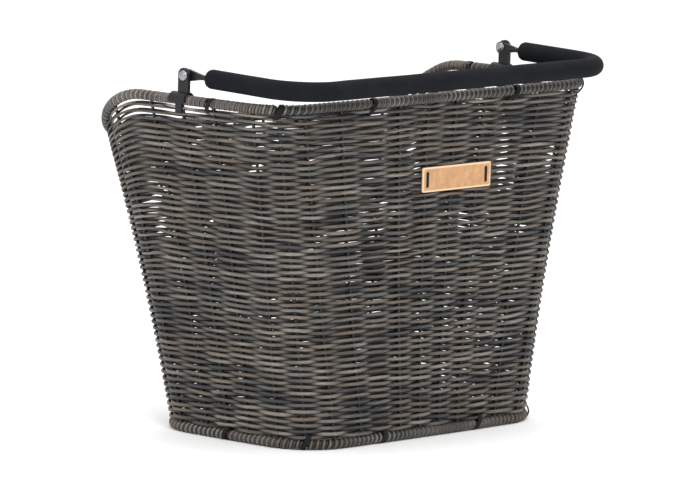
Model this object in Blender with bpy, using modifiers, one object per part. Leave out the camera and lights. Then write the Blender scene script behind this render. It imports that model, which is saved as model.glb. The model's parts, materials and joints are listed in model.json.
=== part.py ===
"""Woven front basket for a bicycle's handlebar, with a fold-down carrying handle.

Metres, +Z up.  X runs across the bicycle, -Y is the front of the basket (the
label side) and +Y faces the handlebar.  The origin lies on the underside of
the base, straight below the middle of the top opening.
"""
import math

import bmesh
import bpy
from mathutils import Matrix, Vector

# ---------------------------------------------------------------- dimensions
GAP = 0.0003                    # clearance between pieces that touch

TOP_WIDTH = 0.395               # rim centre lines, across (X) and fore-aft (Y)
TOP_DEPTH = 0.218
BASE_WIDTH = 0.294
BASE_DEPTH = 0.176
BASE_SHIFT = -0.015             # the base sits towards the front
TOP_CORNER = 0.037
BASE_CORNER = 0.041
FACE_BOW = 0.003                # the long faces bulge this much
END_BOW = 0.0018
WALL_FLARE = 0.003              # the walls curve in this much at half height
RIM_HEIGHT = 0.288              # rim centre line at the front and the ends
REAR_DROP = 0.038               # the rear wall is this much lower
DROP_START = 0.045              # Y where the rim begins to fall
DROP_POWER = 2.25

WIRE_RADIUS = 0.0025            # rim wires
UPRIGHT_RADIUS = 0.00175
WRAP_INNER = 0.0028             # cane wrapped round a rim wire
WRAP_OUTER = 0.0046
WRAP_SLOT = 50.0                # half opening of the wrap, degrees, where the weave enters
WALL_THICKNESS = 0.006
FLOOR_THICKNESS = 0.0026

CORNER_STEPS = 6
LONG_STEPS = 9
SHORT_STEPS = 6
WALL_LEVELS = 4
WRAP_STEPS = 6
FOAM_SIDES = 10
RIVET_SIDES = 16
SCREW_SIDES = 14
HOLE_STEPS = 16

LABEL_SIZE = (0.085, 0.021, 0.0016)
LABEL_X = 0.018
LABEL_Z = 0.2195
LABEL_SLOT = (0.003, 0.0135)
LABEL_SLOT_X = 0.0365

PIVOT_Y = -0.003
PIVOT_Z = 0.3083
POST_X = 0.1995                 # middle of a bracket's upright plate
POST_THICKNESS = 0.003
POST_WIDTH = 0.0115
POST_TOP = 0.0065               # above the pivot
SADDLE_WIDTH = 0.018
SADDLE_SHIFT = 0.003
SADDLE_THICKNESS = 0.0018
TONGUE = (0.0018, 0.007, 0.011)  # thickness, width and length below the rim line
RIVET_RADIUS = 0.0025
RIVET_HOLE = 0.0028
RIVET_HEAD = 0.0045
WASHER_RADIUS = 0.005
WASHER_THICKNESS = 0.0008

ROD_RADIUS = 0.0023
EYELET_RADIUS = 0.0052
EYELET_THICKNESS = 0.003
EYELET_NECK = 0.016             # the flat end turns into the round rod here
BOW_REACH = 0.128               # pivot axis to the middle of the crossbar
BOW_CORNER = 0.038
BOW_ARM_X = 0.194               # half the bow's width at the crossbar
BOW_SLOPE = math.radians(1.8)   # the folded bow slopes down this much
FOAM_RADIUS = 0.0082
FOAM_BORE = 0.0026
FOAM_START = 0.024              # from the pivot axis
FOAM_ROUND = 0.0035             # rounding of the foam's ends

PLATE_SIZE = (0.092, 0.104, 0.006)
PLATE_CORNER = 0.012
PLATE_Z = 0.150
BACKING_THICKNESS = 0.003
SCREW_PITCH = (0.064, 0.076)
SCREW_RADIUS = 0.0025
SCREW_HOLE = 0.0028
SCREW_HEAD = (0.0046, 0.0024)
NUT_ACROSS = 0.008
NUT_HEIGHT = 0.004
HOOK_WIDTH = 0.014
HOOK_X = 0.028
HOOK_Z = 0.024
HOOK_GAP = 0.007                # clear space behind a hook's lip
HOOK_LIP = (0.004, 0.018)       # thickness and height
HOOK_ROOT = 0.005
HOOK_STEP = 0.0006              # the lip stands proud of the root on three sides
LUG_SIZE = (0.024, 0.009, 0.012)
LUG_Z = -0.030

MATERIALS = {                   # colour, roughness, metallic
    "cane": ((0.17, 0.13, 0.10), 0.55, 0.0),
    "black_steel": ((0.02, 0.02, 0.022), 0.38, 0.6),
    "foam": ((0.022, 0.023, 0.027), 0.92, 0.0),
    "label_leather": ((0.62, 0.36, 0.17), 0.6, 0.0),
    "tie_black": ((0.03, 0.025, 0.022), 0.6, 0.0),
    "rivet_steel": ((0.55, 0.56, 0.58), 0.3, 1.0),
    "washer_nylon": ((0.05, 0.05, 0.05), 0.5, 0.0),
    "plate_plastic": ((0.025, 0.025, 0.027), 0.45, 0.0),
}


# ------------------------------------------------------------------- helpers
def clear_scene():
    for obj in list(bpy.data.objects):
        bpy.data.objects.remove(obj, do_unlink=True)


def new_collection(name):
    collection = bpy.data.collections.new(name)
    bpy.context.scene.collection.children.link(collection)
    return collection


def make_materials():
    made = {}
    for name, (colour, roughness, metallic) in MATERIALS.items():
        material = bpy.data.materials.new(name)
        material.use_nodes = True
        shader = material.node_tree.nodes["Principled BSDF"]
        shader.inputs["Base Color"].default_value = (*colour, 1.0)
        shader.inputs["Roughness"].default_value = roughness
        shader.inputs["Metallic"].default_value = metallic
        made[name] = material
    return made


def add_object(name, data, material, collection=None):
    obj = bpy.data.objects.new(name, data)
    (collection or PARTS).objects.link(obj)
    if material:
        data.materials.append(SLOTS[material])
    return obj


def shade(obj, angle=40.0):
    obj.data.shade_smooth()
    obj.data.set_sharp_from_angle(angle=math.radians(angle))


def mesh_object(name, bm, material, collection=None):
    mesh = bpy.data.meshes.new(name)
    bmesh.ops.recalc_face_normals(bm, faces=bm.faces)
    bm.to_mesh(mesh)
    bm.free()
    obj = add_object(name, mesh, material, collection)
    shade(obj)
    return obj


def curve_to_mesh(obj):
    """Replace a curve object by a welded mesh object in the same place."""
    bpy.context.view_layer.update()
    graph = bpy.context.evaluated_depsgraph_get()
    mesh = bpy.data.meshes.new_from_object(obj.evaluated_get(graph))
    bm = bmesh.new()
    bm.from_mesh(mesh)
    bmesh.ops.remove_doubles(bm, verts=bm.verts, dist=0.000001)
    bmesh.ops.recalc_face_normals(bm, faces=bm.faces)
    bm.to_mesh(mesh)
    bm.free()
    name = obj.name
    collection = obj.users_collection[0]
    place = obj.matrix_world.copy()
    curve = obj.data
    bpy.data.objects.remove(obj, do_unlink=True)
    bpy.data.curves.remove(curve)
    solid = bpy.data.objects.new(name, mesh)
    collection.objects.link(solid)
    solid.matrix_world = place
    shade(solid)
    return solid


def make_cutter(obj):
    obj.hide_render = True
    obj.display_type = "WIRE"
    return obj


def boolean(obj, tool, operation):
    modifier = obj.modifiers.new(operation.lower(), "BOOLEAN")
    modifier.operation = operation
    modifier.solver = "EXACT"
    modifier.object = make_cutter(tool)


def wire(name, points, radius, material, cyclic=False, sides=2, collection=None):
    curve = bpy.data.curves.new(name, "CURVE")
    curve.dimensions = "3D"
    curve.bevel_depth = radius
    curve.bevel_resolution = sides
    curve.use_fill_caps = not cyclic
    spline = curve.splines.new("POLY")
    spline.points.add(len(points) - 1)
    for knot, point in zip(spline.points, points):
        knot.co = (*point, 1.0)
    spline.use_cyclic_u = cyclic
    return add_object(name, curve, material, collection)


def plate(name, loops, thickness, material, collection=None):
    """A flat piece in its local XY plane: an outline and any holes, as point loops."""
    curve = bpy.data.curves.new(name, "CURVE")
    curve.dimensions = "2D"
    curve.fill_mode = "BOTH"
    curve.extrude = thickness / 2
    for loop in loops:
        spline = curve.splines.new("POLY")
        spline.points.add(len(loop) - 1)
        for knot, (x, y) in zip(spline.points, loop):
            knot.co = (x, y, 0.0, 1.0)
        spline.use_cyclic_u = True
    return add_object(name, curve, material, collection)


def box(name, size, centre, material, collection=None):
    bm = bmesh.new()
    bmesh.ops.create_cube(bm, size=1.0, matrix=Matrix.Diagonal((*size, 1.0)))
    obj = mesh_object(name, bm, material, collection)
    obj.location = centre
    return obj


def turned(name, profile, material, steps):
    """A solid of revolution about local Z from (radius, height) points, top to bottom."""
    mesh = bpy.data.meshes.new(name)
    edges = [(i, i + 1) for i in range(len(profile) - 1)]
    mesh.from_pydata([(radius, 0.0, height) for radius, height in profile], edges, [])
    obj = add_object(name, mesh, material)
    screw = obj.modifiers.new("turn", "SCREW")
    screw.steps = steps
    screw.render_steps = steps
    screw.use_merge_vertices = True
    screw.merge_threshold = 0.00001
    return obj


def circle(radius, steps, centre=(0.0, 0.0)):
    turn = 2 * math.pi / steps
    return [(centre[0] + radius * math.cos(i * turn), centre[1] + radius * math.sin(i * turn))
            for i in range(steps)]


def rounded_rectangle(width, height, corner, steps, centre=(0.0, 0.0)):
    points = []
    for quarter, (sx, sy) in enumerate(((1, 1), (-1, 1), (-1, -1), (1, -1))):
        for step in range(steps + 1):
            angle = math.radians(90 * (quarter + step / steps))
            x = sx * (width / 2 - corner) + corner * math.cos(angle)
            y = sy * (height / 2 - corner) + corner * math.sin(angle)
            points.append((centre[0] + x, centre[1] + y))
    return points


# ------------------------------------------------------- the basket's surface
def outline(width, depth, corner, shift):
    """Plan of a rim: a rounded rectangle with bowed faces, counter-clockwise.

    Columns are matched between the two rims, so a stake keeps its number.
    """
    flat = rounded_rectangle(width, depth, corner, CORNER_STEPS)
    points = []
    for quarter in range(4):
        first = quarter * (CORNER_STEPS + 1)
        points += flat[first:first + CORNER_STEPS + 1]
        start = Vector(flat[first + CORNER_STEPS])
        end = Vector(flat[(first + CORNER_STEPS + 1) % len(flat)])
        steps = LONG_STEPS if quarter % 2 == 0 else SHORT_STEPS
        points += [tuple(start.lerp(end, i / steps)) for i in range(1, steps)]
    bowed = []
    for x, y in points:
        y_bow = math.copysign(FACE_BOW * (1 - (2 * x / width) ** 2), y)
        x_bow = math.copysign(END_BOW * (1 - (2 * y / depth) ** 2), x)
        bowed.append(Vector((x + x_bow, y + y_bow + shift)))
    return bowed


def side_column(quarter, step):
    """Number of the column at a step along the side that follows a corner."""
    number = CORNER_STEPS + step
    for before in range(quarter):
        sides = LONG_STEPS if before % 2 == 0 else SHORT_STEPS
        number += CORNER_STEPS + sides
    return number


def rim_height(y):
    fraction = (y - DROP_START) / (TOP_DEPTH / 2 - DROP_START)
    return RIM_HEIGHT - REAR_DROP * min(max(fraction, 0.0), 1.0) ** DROP_POWER


def ring_normals(ring):
    normals = []
    for i in range(len(ring)):
        run = ring[(i + 1) % len(ring)].xy - ring[i - 1].xy
        normals.append(Vector((run.y, -run.x)).normalized())
    return normals


def top_ring():
    plan = outline(TOP_WIDTH, TOP_DEPTH, TOP_CORNER, 0.0)
    return [Vector((p.x, p.y, rim_height(p.y))) for p in plan]


def base_ring():
    plan = outline(BASE_WIDTH, BASE_DEPTH, BASE_CORNER, BASE_SHIFT)
    return [Vector((p.x, p.y, WRAP_OUTER)) for p in plan]


def wall_point(column, height_fraction, outwards=0.0):
    """A point of the wall's middle surface, or off it by a distance outwards."""
    low = BASE[column]
    high = TOP[column]
    normal = TOP_NORMALS[column]
    bend = outwards - WALL_FLARE * 4 * height_fraction * (1 - height_fraction)
    point = low.lerp(high, height_fraction)
    return point + Vector((normal.x * bend, normal.y * bend, 0.0))


def fraction_at(column, height):
    return (height - BASE[column].z) / (TOP[column].z - BASE[column].z)


def rim_slope_factor(column):
    """How much longer a vertical cut through the sloping rim is than a square one."""
    run = TOP[(column + 1) % len(TOP)] - TOP[column - 1]
    return run.length / run.xy.length


def wall_range(column):
    low = fraction_at(column, BASE[column].z + WRAP_OUTER + GAP)
    clear = (WRAP_OUTER + GAP) * rim_slope_factor(column)
    return low, fraction_at(column, TOP[column].z - clear)


# --------------------------------------------------------------- wire frame
def make_rims():
    wire("top_rim_wire", TOP, WIRE_RADIUS, "black_steel", cyclic=True, sides=1)
    wire("base_rim_wire", BASE, WIRE_RADIUS, "black_steel", cyclic=True, sides=1)
    make_wrap("top_rim_wrap", TOP, -90.0)
    make_wrap("base_rim_wrap", BASE, 90.0)


def make_wrap(name, ring, opening):
    """The cane wound round a rim wire, as a C-shaped sleeve open towards the weave."""
    sweep = 360.0 - 2 * WRAP_SLOT
    angles = [math.radians(opening + WRAP_SLOT + sweep * i / WRAP_STEPS)
              for i in range(WRAP_STEPS + 1)]
    section = [(WRAP_OUTER * math.cos(a), WRAP_OUTER * math.sin(a)) for a in angles]
    section += [(WRAP_INNER * math.cos(a), WRAP_INNER * math.sin(a)) for a in reversed(angles)]
    bm = bmesh.new()
    loops = []
    for i, point in enumerate(ring):
        along = (ring[(i + 1) % len(ring)] - ring[i - 1]).normalized()
        side = along.cross(Vector((0, 0, 1))).normalized()
        up = side.cross(along).normalized()
        loops.append([bm.verts.new(point + side * a + up * b) for a, b in section])
    for i, loop in enumerate(loops):
        following = loops[(i + 1) % len(loops)]
        for j in range(len(loop)):
            k = (j + 1) % len(loop)
            bm.faces.new((loop[j], loop[k], following[k], following[j]))
    return mesh_object(name, bm, "cane")


def upright_columns():
    """Two on the front, two on the back, one in each end and one in each front corner."""
    columns = [side_column(0, step) for step in (2, LONG_STEPS - 2)]
    columns += [side_column(2, step) for step in (3, LONG_STEPS - 3)]
    columns += [side_column(quarter, SHORT_STEPS // 2) for quarter in (1, 3)]
    columns += [side_column(quarter, 0) - CORNER_STEPS // 2 for quarter in (2, 3)]
    return columns


def upright_path(column, extra=0.0):
    reach = WIRE_RADIUS + GAP - extra
    low = fraction_at(column, BASE[column].z + reach)
    high = fraction_at(column, TOP[column].z - reach)
    steps = 6
    return [wall_point(column, low + (high - low) * i / steps) for i in range(steps + 1)]


def make_uprights():
    for number, column in enumerate(upright_columns(), start=1):
        wire(f"upright_wire_{number}", upright_path(column), UPRIGHT_RADIUS, "black_steel")


def make_floor():
    inset = WRAP_OUTER + GAP
    normals = ring_normals(BASE)
    edge = [(p.x - n.x * inset, p.y - n.y * inset) for p, n in zip(BASE, normals)]
    floor = plate("woven_floor", [edge], FLOOR_THICKNESS, "cane")
    floor.location.z = FLOOR_THICKNESS / 2
    height = FLOOR_THICKNESS + GAP + UPRIGHT_RADIUS
    for number, x in enumerate((-0.075, 0.0, 0.075), start=1):
        half = BASE_DEPTH / 2 - inset - GAP
        ends = [(x, BASE_SHIFT - half, height), (x, BASE_SHIFT + half, height)]
        wire(f"floor_wire_{number}", ends, UPRIGHT_RADIUS, "black_steel")


# --------------------------------------------------------------- woven wall
def make_wall():
    half = WALL_THICKNESS / 2
    bm = bmesh.new()
    loops = []
    for column in range(len(TOP)):
        low, high = wall_range(column)
        heights = [low + (high - low) * i / WALL_LEVELS for i in range(WALL_LEVELS + 1)]
        outer = [bm.verts.new(wall_point(column, t, half)) for t in heights]
        inner = [bm.verts.new(wall_point(column, t, -half)) for t in reversed(heights)]
        loops.append(outer + inner)
    for i, loop in enumerate(loops):
        following = loops[(i + 1) % len(loops)]
        for j in range(len(loop)):
            k = (j + 1) % len(loop)
            bm.faces.new((loop[j], loop[k], following[k], following[j]))
    wall = mesh_object("woven_wall", bm, "cane")
    for number, column in enumerate(upright_columns(), start=1):
        path = upright_path(column, extra=0.012)
        channel = wire(f"channel_{number}", path, UPRIGHT_RADIUS + GAP, None,
                       collection=CUTTERS)
        boolean(wall, curve_to_mesh(channel), "DIFFERENCE")
    return wall


def front_face(x, z):
    """Y of the front wall's outer face at a place on it."""
    columns = range(side_column(2, 0), side_column(2, LONG_STEPS) + 1)
    points = [wall_point(c, fraction_at(c, z), WALL_THICKNESS / 2) for c in columns]
    nearest = min(points, key=lambda p: abs(p.x - x))
    return nearest.y


def make_label():
    width, height, thickness = LABEL_SIZE
    outer = rounded_rectangle(width, height, 0.0015, 3)
    holes = [rounded_rectangle(*LABEL_SLOT, 0.001, 2, (side * LABEL_SLOT_X, 0.0))
             for side in (-1, 1)]
    corners = [(LABEL_X + sx * width / 2, LABEL_Z + sz * height / 2)
               for sx in (-1, 0, 1) for sz in (-1, 0, 1)]
    back = min(front_face(x, z) for x, z in corners) - GAP
    label = plate("label", [outer] + holes, thickness, "label_leather")
    label.location = (LABEL_X, back - thickness / 2, LABEL_Z)
    label.rotation_euler.x = math.radians(90)
    tie_size = (LABEL_SLOT[0] - 2 * GAP, LABEL_SLOT[1] - 2 * GAP)
    for side, name in ((-1, "label_tie_left"), (1, "label_tie_right")):
        tie = plate(name, [rounded_rectangle(*tie_size, 0.0009, 2)], thickness, "tie_black")
        tie.location = (LABEL_X + side * LABEL_SLOT_X, back - thickness / 2, LABEL_Z)
        tie.rotation_euler.x = math.radians(90)


# ----------------------------------------------------- brackets and pivots
def lay_on_end(obj, x, y, z):
    """Turn a flat piece so that its own Z points along X and its Y points up."""
    obj.location = (x, y, z)
    obj.rotation_euler = (math.radians(90), 0.0, math.radians(90))
    return obj


def bracket_post_outline():
    half = POST_WIDTH / 2
    lowest = RIM_HEIGHT + WRAP_OUTER + GAP + SADDLE_THICKNESS / 2 - PIVOT_Z
    points = [(-half, lowest), (half, lowest), (half, POST_TOP - half)]
    steps = 8
    for step in range(1, steps):
        angle = math.pi * step / steps
        points.append((half * math.cos(angle), POST_TOP - half + half * math.sin(angle)))
    points.append((-half, POST_TOP - half))
    return points


def saddle_outline():
    """Half a sleeve over the wrapped rim, with a short leg each side."""
    inner = WRAP_OUTER + GAP
    outer = inner + SADDLE_THICKNESS
    leg = -0.002
    steps = 10
    arc = [math.pi * i / steps for i in range(steps + 1)]
    points = [(outer, leg)]
    points += [(outer * math.cos(a), outer * math.sin(a)) for a in arc]
    points += [(-outer, leg), (-inner, leg)]
    points += [(inner * math.cos(a), inner * math.sin(a)) for a in reversed(arc)]
    points.append((inner, leg))
    return points


def make_bracket(side, name):
    rim = TOP[side_column(1 if side < 0 else 3, SHORT_STEPS // 2)]
    post_loops = [bracket_post_outline(), circle(RIVET_HOLE, HOLE_STEPS)]
    post = plate(name, post_loops, POST_THICKNESS, "black_steel")
    lay_on_end(post, side * POST_X, PIVOT_Y, PIVOT_Z)
    post = curve_to_mesh(post)
    saddle = plate(f"{name}_saddle", [saddle_outline()], SADDLE_WIDTH, None, CUTTERS)
    saddle.location = (rim.x, PIVOT_Y + SADDLE_SHIFT, rim.z)
    saddle.rotation_euler.x = math.radians(90)
    boolean(post, curve_to_mesh(saddle), "UNION")
    thickness, width, length = TONGUE
    reach = WRAP_OUTER + GAP + thickness / 2
    centre = (rim.x + side * reach, PIVOT_Y, rim.z - (length - 0.001) / 2)
    tongue = box(f"{name}_tongue", (thickness, width, length), centre, None, CUTTERS)
    boolean(post, tongue, "UNION")


def make_pivot(side, tag):
    inner_face = POST_X - POST_THICKNESS / 2
    washer_x = inner_face - GAP - WASHER_THICKNESS / 2
    washer = plate(f"pivot_washer_{tag}", [circle(WASHER_RADIUS, HOLE_STEPS), circle(RIVET_HOLE, HOLE_STEPS)],
                   WASHER_THICKNESS, "washer_nylon")
    lay_on_end(washer, side * washer_x, PIVOT_Y, PIVOT_Z)
    outer_end = POST_X + POST_THICKNESS / 2 + GAP
    inner_end = EYELET_X - EYELET_THICKNESS / 2 - GAP
    half = (outer_end - inner_end) / 2
    dome = 0.0019
    profile = [(0.0, half + dome), (RIVET_HEAD * 0.55, half + dome * 0.85),
               (RIVET_HEAD * 0.9, half + dome * 0.4), (RIVET_HEAD, half),
               (RIVET_RADIUS, half), (RIVET_RADIUS, -half), (RIVET_HEAD, -half),
               (RIVET_HEAD * 0.9, -half - dome * 0.4),
               (RIVET_HEAD * 0.55, -half - dome * 0.85), (0.0, -half - dome)]
    rivet = turned(f"pivot_rivet_{tag}", profile, "rivet_steel", RIVET_SIDES)
    rivet.location = (side * (outer_end + inner_end) / 2, PIVOT_Y, PIVOT_Z)
    rivet.rotation_euler.y = math.radians(90)


# ---------------------------------------------------------------- the handle
def bow_point(x, reach):
    """A point of the folded bow: across, and at a distance from the pivot axis."""
    return Vector((x, PIVOT_Y - reach * math.cos(BOW_SLOPE), PIVOT_Z - reach * math.sin(BOW_SLOPE)))


def bow_half(start):
    """Half of the bow's centre line, from a reach on the left arm to the middle."""
    bend = BOW_REACH - BOW_CORNER
    arm_steps = 5
    points = []
    for i in range(arm_steps + 1):
        reach = start + (bend - start) * i / arm_steps
        across = EYELET_X + (BOW_ARM_X - EYELET_X) * reach / bend
        points.append(bow_point(-across, reach))
    corner_steps = 8
    for i in range(1, corner_steps + 1):
        angle = math.radians(90 * i / corner_steps)
        x = -(BOW_ARM_X - BOW_CORNER) - BOW_CORNER * math.cos(angle)
        points.append(bow_point(x, bend + BOW_CORNER * math.sin(angle)))
    crossbar = BOW_ARM_X - BOW_CORNER
    points += [bow_point(-crossbar * f, BOW_REACH) for f in (0.66, 0.33)]
    return points


def bow_path(start):
    left = bow_half(start)
    right = [Vector((-p.x, p.y, p.z)) for p in reversed(left)]
    return left + [bow_point(0.0, BOW_REACH)] + right


def eyelet_outline():
    """A round eye with straight sides running in to the rod's width."""
    lean = math.asin((EYELET_RADIUS - ROD_RADIUS) / EYELET_NECK)
    first = math.pi / 2 - lean
    steps = 14
    sweep = 2 * math.pi - 2 * first
    points = []
    for i in range(steps + 1):
        angle = first + sweep * i / steps
        points.append((EYELET_RADIUS * math.cos(angle), EYELET_RADIUS * math.sin(angle)))
    points += [(EYELET_NECK, -ROD_RADIUS * 0.95), (EYELET_NECK, ROD_RADIUS * 0.95)]
    return points


def make_handle():
    rod = wire("handle_rod", bow_path(EYELET_NECK - 0.006), ROD_RADIUS, "black_steel")
    rod = curve_to_mesh(rod)
    for side, tag in ((-1, "left"), (1, "right")):
        loops = [eyelet_outline(), circle(RIVET_HOLE, HOLE_STEPS)]
        eye = plate(f"eyelet_{tag}", loops, EYELET_THICKNESS, None, CUTTERS)
        eye.location = (side * EYELET_X, PIVOT_Y, PIVOT_Z)
        # local X along the arm (towards -Y, sloping down), local Z across the basket
        forward = Vector((0.0, -math.cos(BOW_SLOPE), -math.sin(BOW_SLOPE)))
        across = Vector((1.0, 0.0, 0.0))
        upward = across.cross(forward)
        eye.rotation_euler = Matrix((forward, upward, across)).transposed().to_euler()
        boolean(rod, curve_to_mesh(eye), "UNION")
    make_foam()


def make_foam():
    """A foam tube on the bow, open at both ends, with rounded ends."""
    path = bow_path(FOAM_START)
    for step in (0.35, 1.0):
        for end, inward in ((0, 1), (-1, -1)):
            direction = (path[end + inward] - path[end]).normalized()
            place = path[end] + direction * FOAM_ROUND * step
            index = 1 if end == 0 else len(path) - 1
            path.insert(index if step < 1 else (2 if end == 0 else len(path) - 2), place)
    radii = [FOAM_RADIUS] * len(path)
    for end in (0, -1):
        radii[end] = FOAM_RADIUS - FOAM_ROUND * 0.85
    radii[1] = FOAM_RADIUS - FOAM_ROUND * 0.25
    radii[-2] = FOAM_RADIUS - FOAM_ROUND * 0.25
    bm = bmesh.new()
    outer = []
    inner = []
    for i, point in enumerate(path):
        ahead = path[min(i + 1, len(path) - 1)]
        along = (ahead - path[max(i - 1, 0)]).normalized()
        up = Vector((0.0, -math.sin(BOW_SLOPE), math.cos(BOW_SLOPE)))
        side = along.cross(up).normalized()
        rays = [side * x + up * y for x, y in circle(1.0, FOAM_SIDES)]
        outer.append([bm.verts.new(point + ray * radii[i]) for ray in rays])
        inner.append([bm.verts.new(point + ray * FOAM_BORE) for ray in rays])
    strips = [(a, b) for a, b in zip(outer, outer[1:])] + [(a, b) for a, b in zip(inner, inner[1:])]
    strips += [(outer[0], inner[0]), (outer[-1], inner[-1])]
    for first, second in strips:
        for j in range(FOAM_SIDES):
            k = (j + 1) % FOAM_SIDES
            bm.faces.new((first[j], first[k], second[k], second[j]))
    return mesh_object("foam_grip", bm, "foam")


# ------------------------------------------------------------ hanging plate
def rear_wall_place(height, outwards):
    """The rear wall's surface on the basket's middle plane, at a height."""
    column = side_column(0, LONG_STEPS // 2)
    point = wall_point(column, fraction_at(column, height), outwards)
    return Vector((0.0, point.y, height))


def plate_frame(z_low, z_high, outwards):
    """Tilt of the rear wall between two heights, and its outermost offset there."""
    low = rear_wall_place(z_low, outwards)
    high = rear_wall_place(z_high, outwards)
    return math.atan2(high.y - low.y, z_high - z_low), low, high


def place_plate(obj, frame, x, outwards, up, flat=True):
    obj.parent = frame
    obj.location = (x, outwards, up)
    if flat:
        obj.rotation_euler.x = math.radians(90)
    return obj


def screw_places():
    return [(sx * SCREW_PITCH[0] / 2, sz * SCREW_PITCH[1] / 2)
            for sx in (-1, 1) for sz in (-1, 1)]


def make_hanger():
    """The plastic plate that hangs on the bicycle's holder, bolted through the rear wall."""
    width, height, thickness = PLATE_SIZE
    half_wall = WALL_THICKNESS / 2
    tilt, low, high = plate_frame(PLATE_Z - height / 2, PLATE_Z + height / 2, 0.0)
    frame = bpy.data.objects.new("rear_wall_frame", None)
    PARTS.objects.link(frame)
    frame.location = (low + high) / 2
    frame.rotation_euler.x = -tilt
    outer_face = half_wall + GAP * 2
    inner_face = -half_wall - WALL_FLARE - GAP
    holes = [circle(SCREW_HOLE, HOLE_STEPS, place) for place in screw_places()]
    outline_loop = rounded_rectangle(width, height, PLATE_CORNER, 5)
    main = plate("adapter_plate", [outline_loop] + holes, thickness, "plate_plastic")
    place_plate(main, frame, 0.0, outer_face + thickness / 2, 0.0)
    main = curve_to_mesh(main)
    add_hooks(main, frame, outer_face + thickness)
    backing = plate("backing_plate", [outline_loop] + holes, BACKING_THICKNESS, "plate_plastic")
    place_plate(backing, frame, 0.0, inner_face - BACKING_THICKNESS / 2, 0.0)
    add_fasteners(frame, outer_face + thickness, inner_face - BACKING_THICKNESS)
    return frame


def add_hooks(main, frame, face):
    for side in (-1, 1):
        x = side * HOOK_X
        root = (HOOK_WIDTH - 2 * HOOK_STEP, HOOK_GAP + 0.003, HOOK_ROOT)
        piece = box("hook_root", root, (0, 0, 0), None, CUTTERS)
        place_plate(piece, frame, x, face + root[1] / 2 - 0.001, HOOK_Z, flat=False)
        boolean(main, piece, "UNION")
        lip_height = HOOK_LIP[1]
        piece = box("hook_lip", (HOOK_WIDTH, HOOK_LIP[0], lip_height), (0, 0, 0), None, CUTTERS)
        drop = HOOK_Z + HOOK_ROOT / 2 + HOOK_STEP - lip_height / 2
        place_plate(piece, frame, x, face + HOOK_GAP + HOOK_LIP[0] / 2, drop, flat=False)
        boolean(main, piece, "UNION")
    lug = box("latch_lug", LUG_SIZE, (0, 0, 0), None, CUTTERS)
    place_plate(lug, frame, 0.0, face + LUG_SIZE[1] / 2 - 0.001, LUG_Z, flat=False)
    boolean(main, lug, "UNION")


def add_fasteners(frame, outside, inside):
    head_radius, head_height = SCREW_HEAD
    tip = inside - NUT_HEIGHT - GAP - 0.0015
    nut_radius = NUT_ACROSS / 2 / math.cos(math.radians(30))
    under_head = outside + GAP
    profile = [(0.0, under_head + head_height), (head_radius * 0.7, under_head + head_height),
               (head_radius, under_head + head_height * 0.45), (head_radius, under_head),
               (SCREW_RADIUS, under_head), (SCREW_RADIUS, tip), (0.0, tip)]
    wall = bpy.data.objects["woven_wall"]
    for number, (x, z) in enumerate(screw_places(), start=1):
        screw = turned(f"adapter_screw_{number}", profile, "rivet_steel", SCREW_SIDES)
        screw.parent = frame
        screw.location = (x, 0.0, z)
        screw.rotation_euler.x = math.radians(-90)
        nut = plate(f"adapter_nut_{number}", [circle(nut_radius, 6), circle(SCREW_HOLE, HOLE_STEPS)],
                    NUT_HEIGHT, "rivet_steel")
        place_plate(nut, frame, x, inside - GAP - NUT_HEIGHT / 2, z)
        reach = 0.02
        hole = wire(f"wall_hole_{number}", [(x, -reach, z), (x, reach, z)], SCREW_HOLE, None,
                    sides=3, collection=CUTTERS)
        hole.parent = frame
        boolean(wall, curve_to_mesh(hole), "DIFFERENCE")


# --------------------------------------------------------------------- build
clear_scene()
PARTS = new_collection("handlebar_basket")
CUTTERS = new_collection("cutters")
SLOTS = make_materials()

EYELET_X = POST_X - POST_THICKNESS / 2 - WASHER_THICKNESS - 2 * GAP - EYELET_THICKNESS / 2
TOP = top_ring()
BASE = base_ring()
TOP_NORMALS = ring_normals(TOP)

make_rims()
make_uprights()
make_floor()
make_wall()
make_label()
for side_sign, side_tag in ((-1, "left"), (1, "right")):
    make_bracket(side_sign, f"handle_bracket_{side_tag}")
    make_pivot(side_sign, side_tag)
make_handle()
make_hanger()
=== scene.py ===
"""Looks of the woven handlebar basket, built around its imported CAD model.

Metres, +Z up.  X runs across the bicycle, -Y is the front (label) side.  Every
strand of the weave is a real tube that passes in front of and behind the
stakes; the rims are wound with two strands each.
"""
import json
import math

import bmesh
import bpy
import numpy as np
from mathutils import Matrix, Vector


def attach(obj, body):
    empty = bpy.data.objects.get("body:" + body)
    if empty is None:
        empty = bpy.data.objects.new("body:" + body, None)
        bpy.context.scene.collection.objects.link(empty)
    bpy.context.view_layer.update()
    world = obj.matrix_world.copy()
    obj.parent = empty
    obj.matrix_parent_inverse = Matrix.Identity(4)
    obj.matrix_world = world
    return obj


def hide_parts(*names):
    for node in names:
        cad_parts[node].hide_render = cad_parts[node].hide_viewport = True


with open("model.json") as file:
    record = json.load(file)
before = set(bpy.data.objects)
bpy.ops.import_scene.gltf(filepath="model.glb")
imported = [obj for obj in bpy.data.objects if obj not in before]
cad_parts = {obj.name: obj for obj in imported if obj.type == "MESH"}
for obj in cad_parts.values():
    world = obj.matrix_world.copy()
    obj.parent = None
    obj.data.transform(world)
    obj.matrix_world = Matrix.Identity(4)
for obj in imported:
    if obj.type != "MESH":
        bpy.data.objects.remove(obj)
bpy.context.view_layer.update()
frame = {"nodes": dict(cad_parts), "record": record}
NODES = frame["nodes"]

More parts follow.
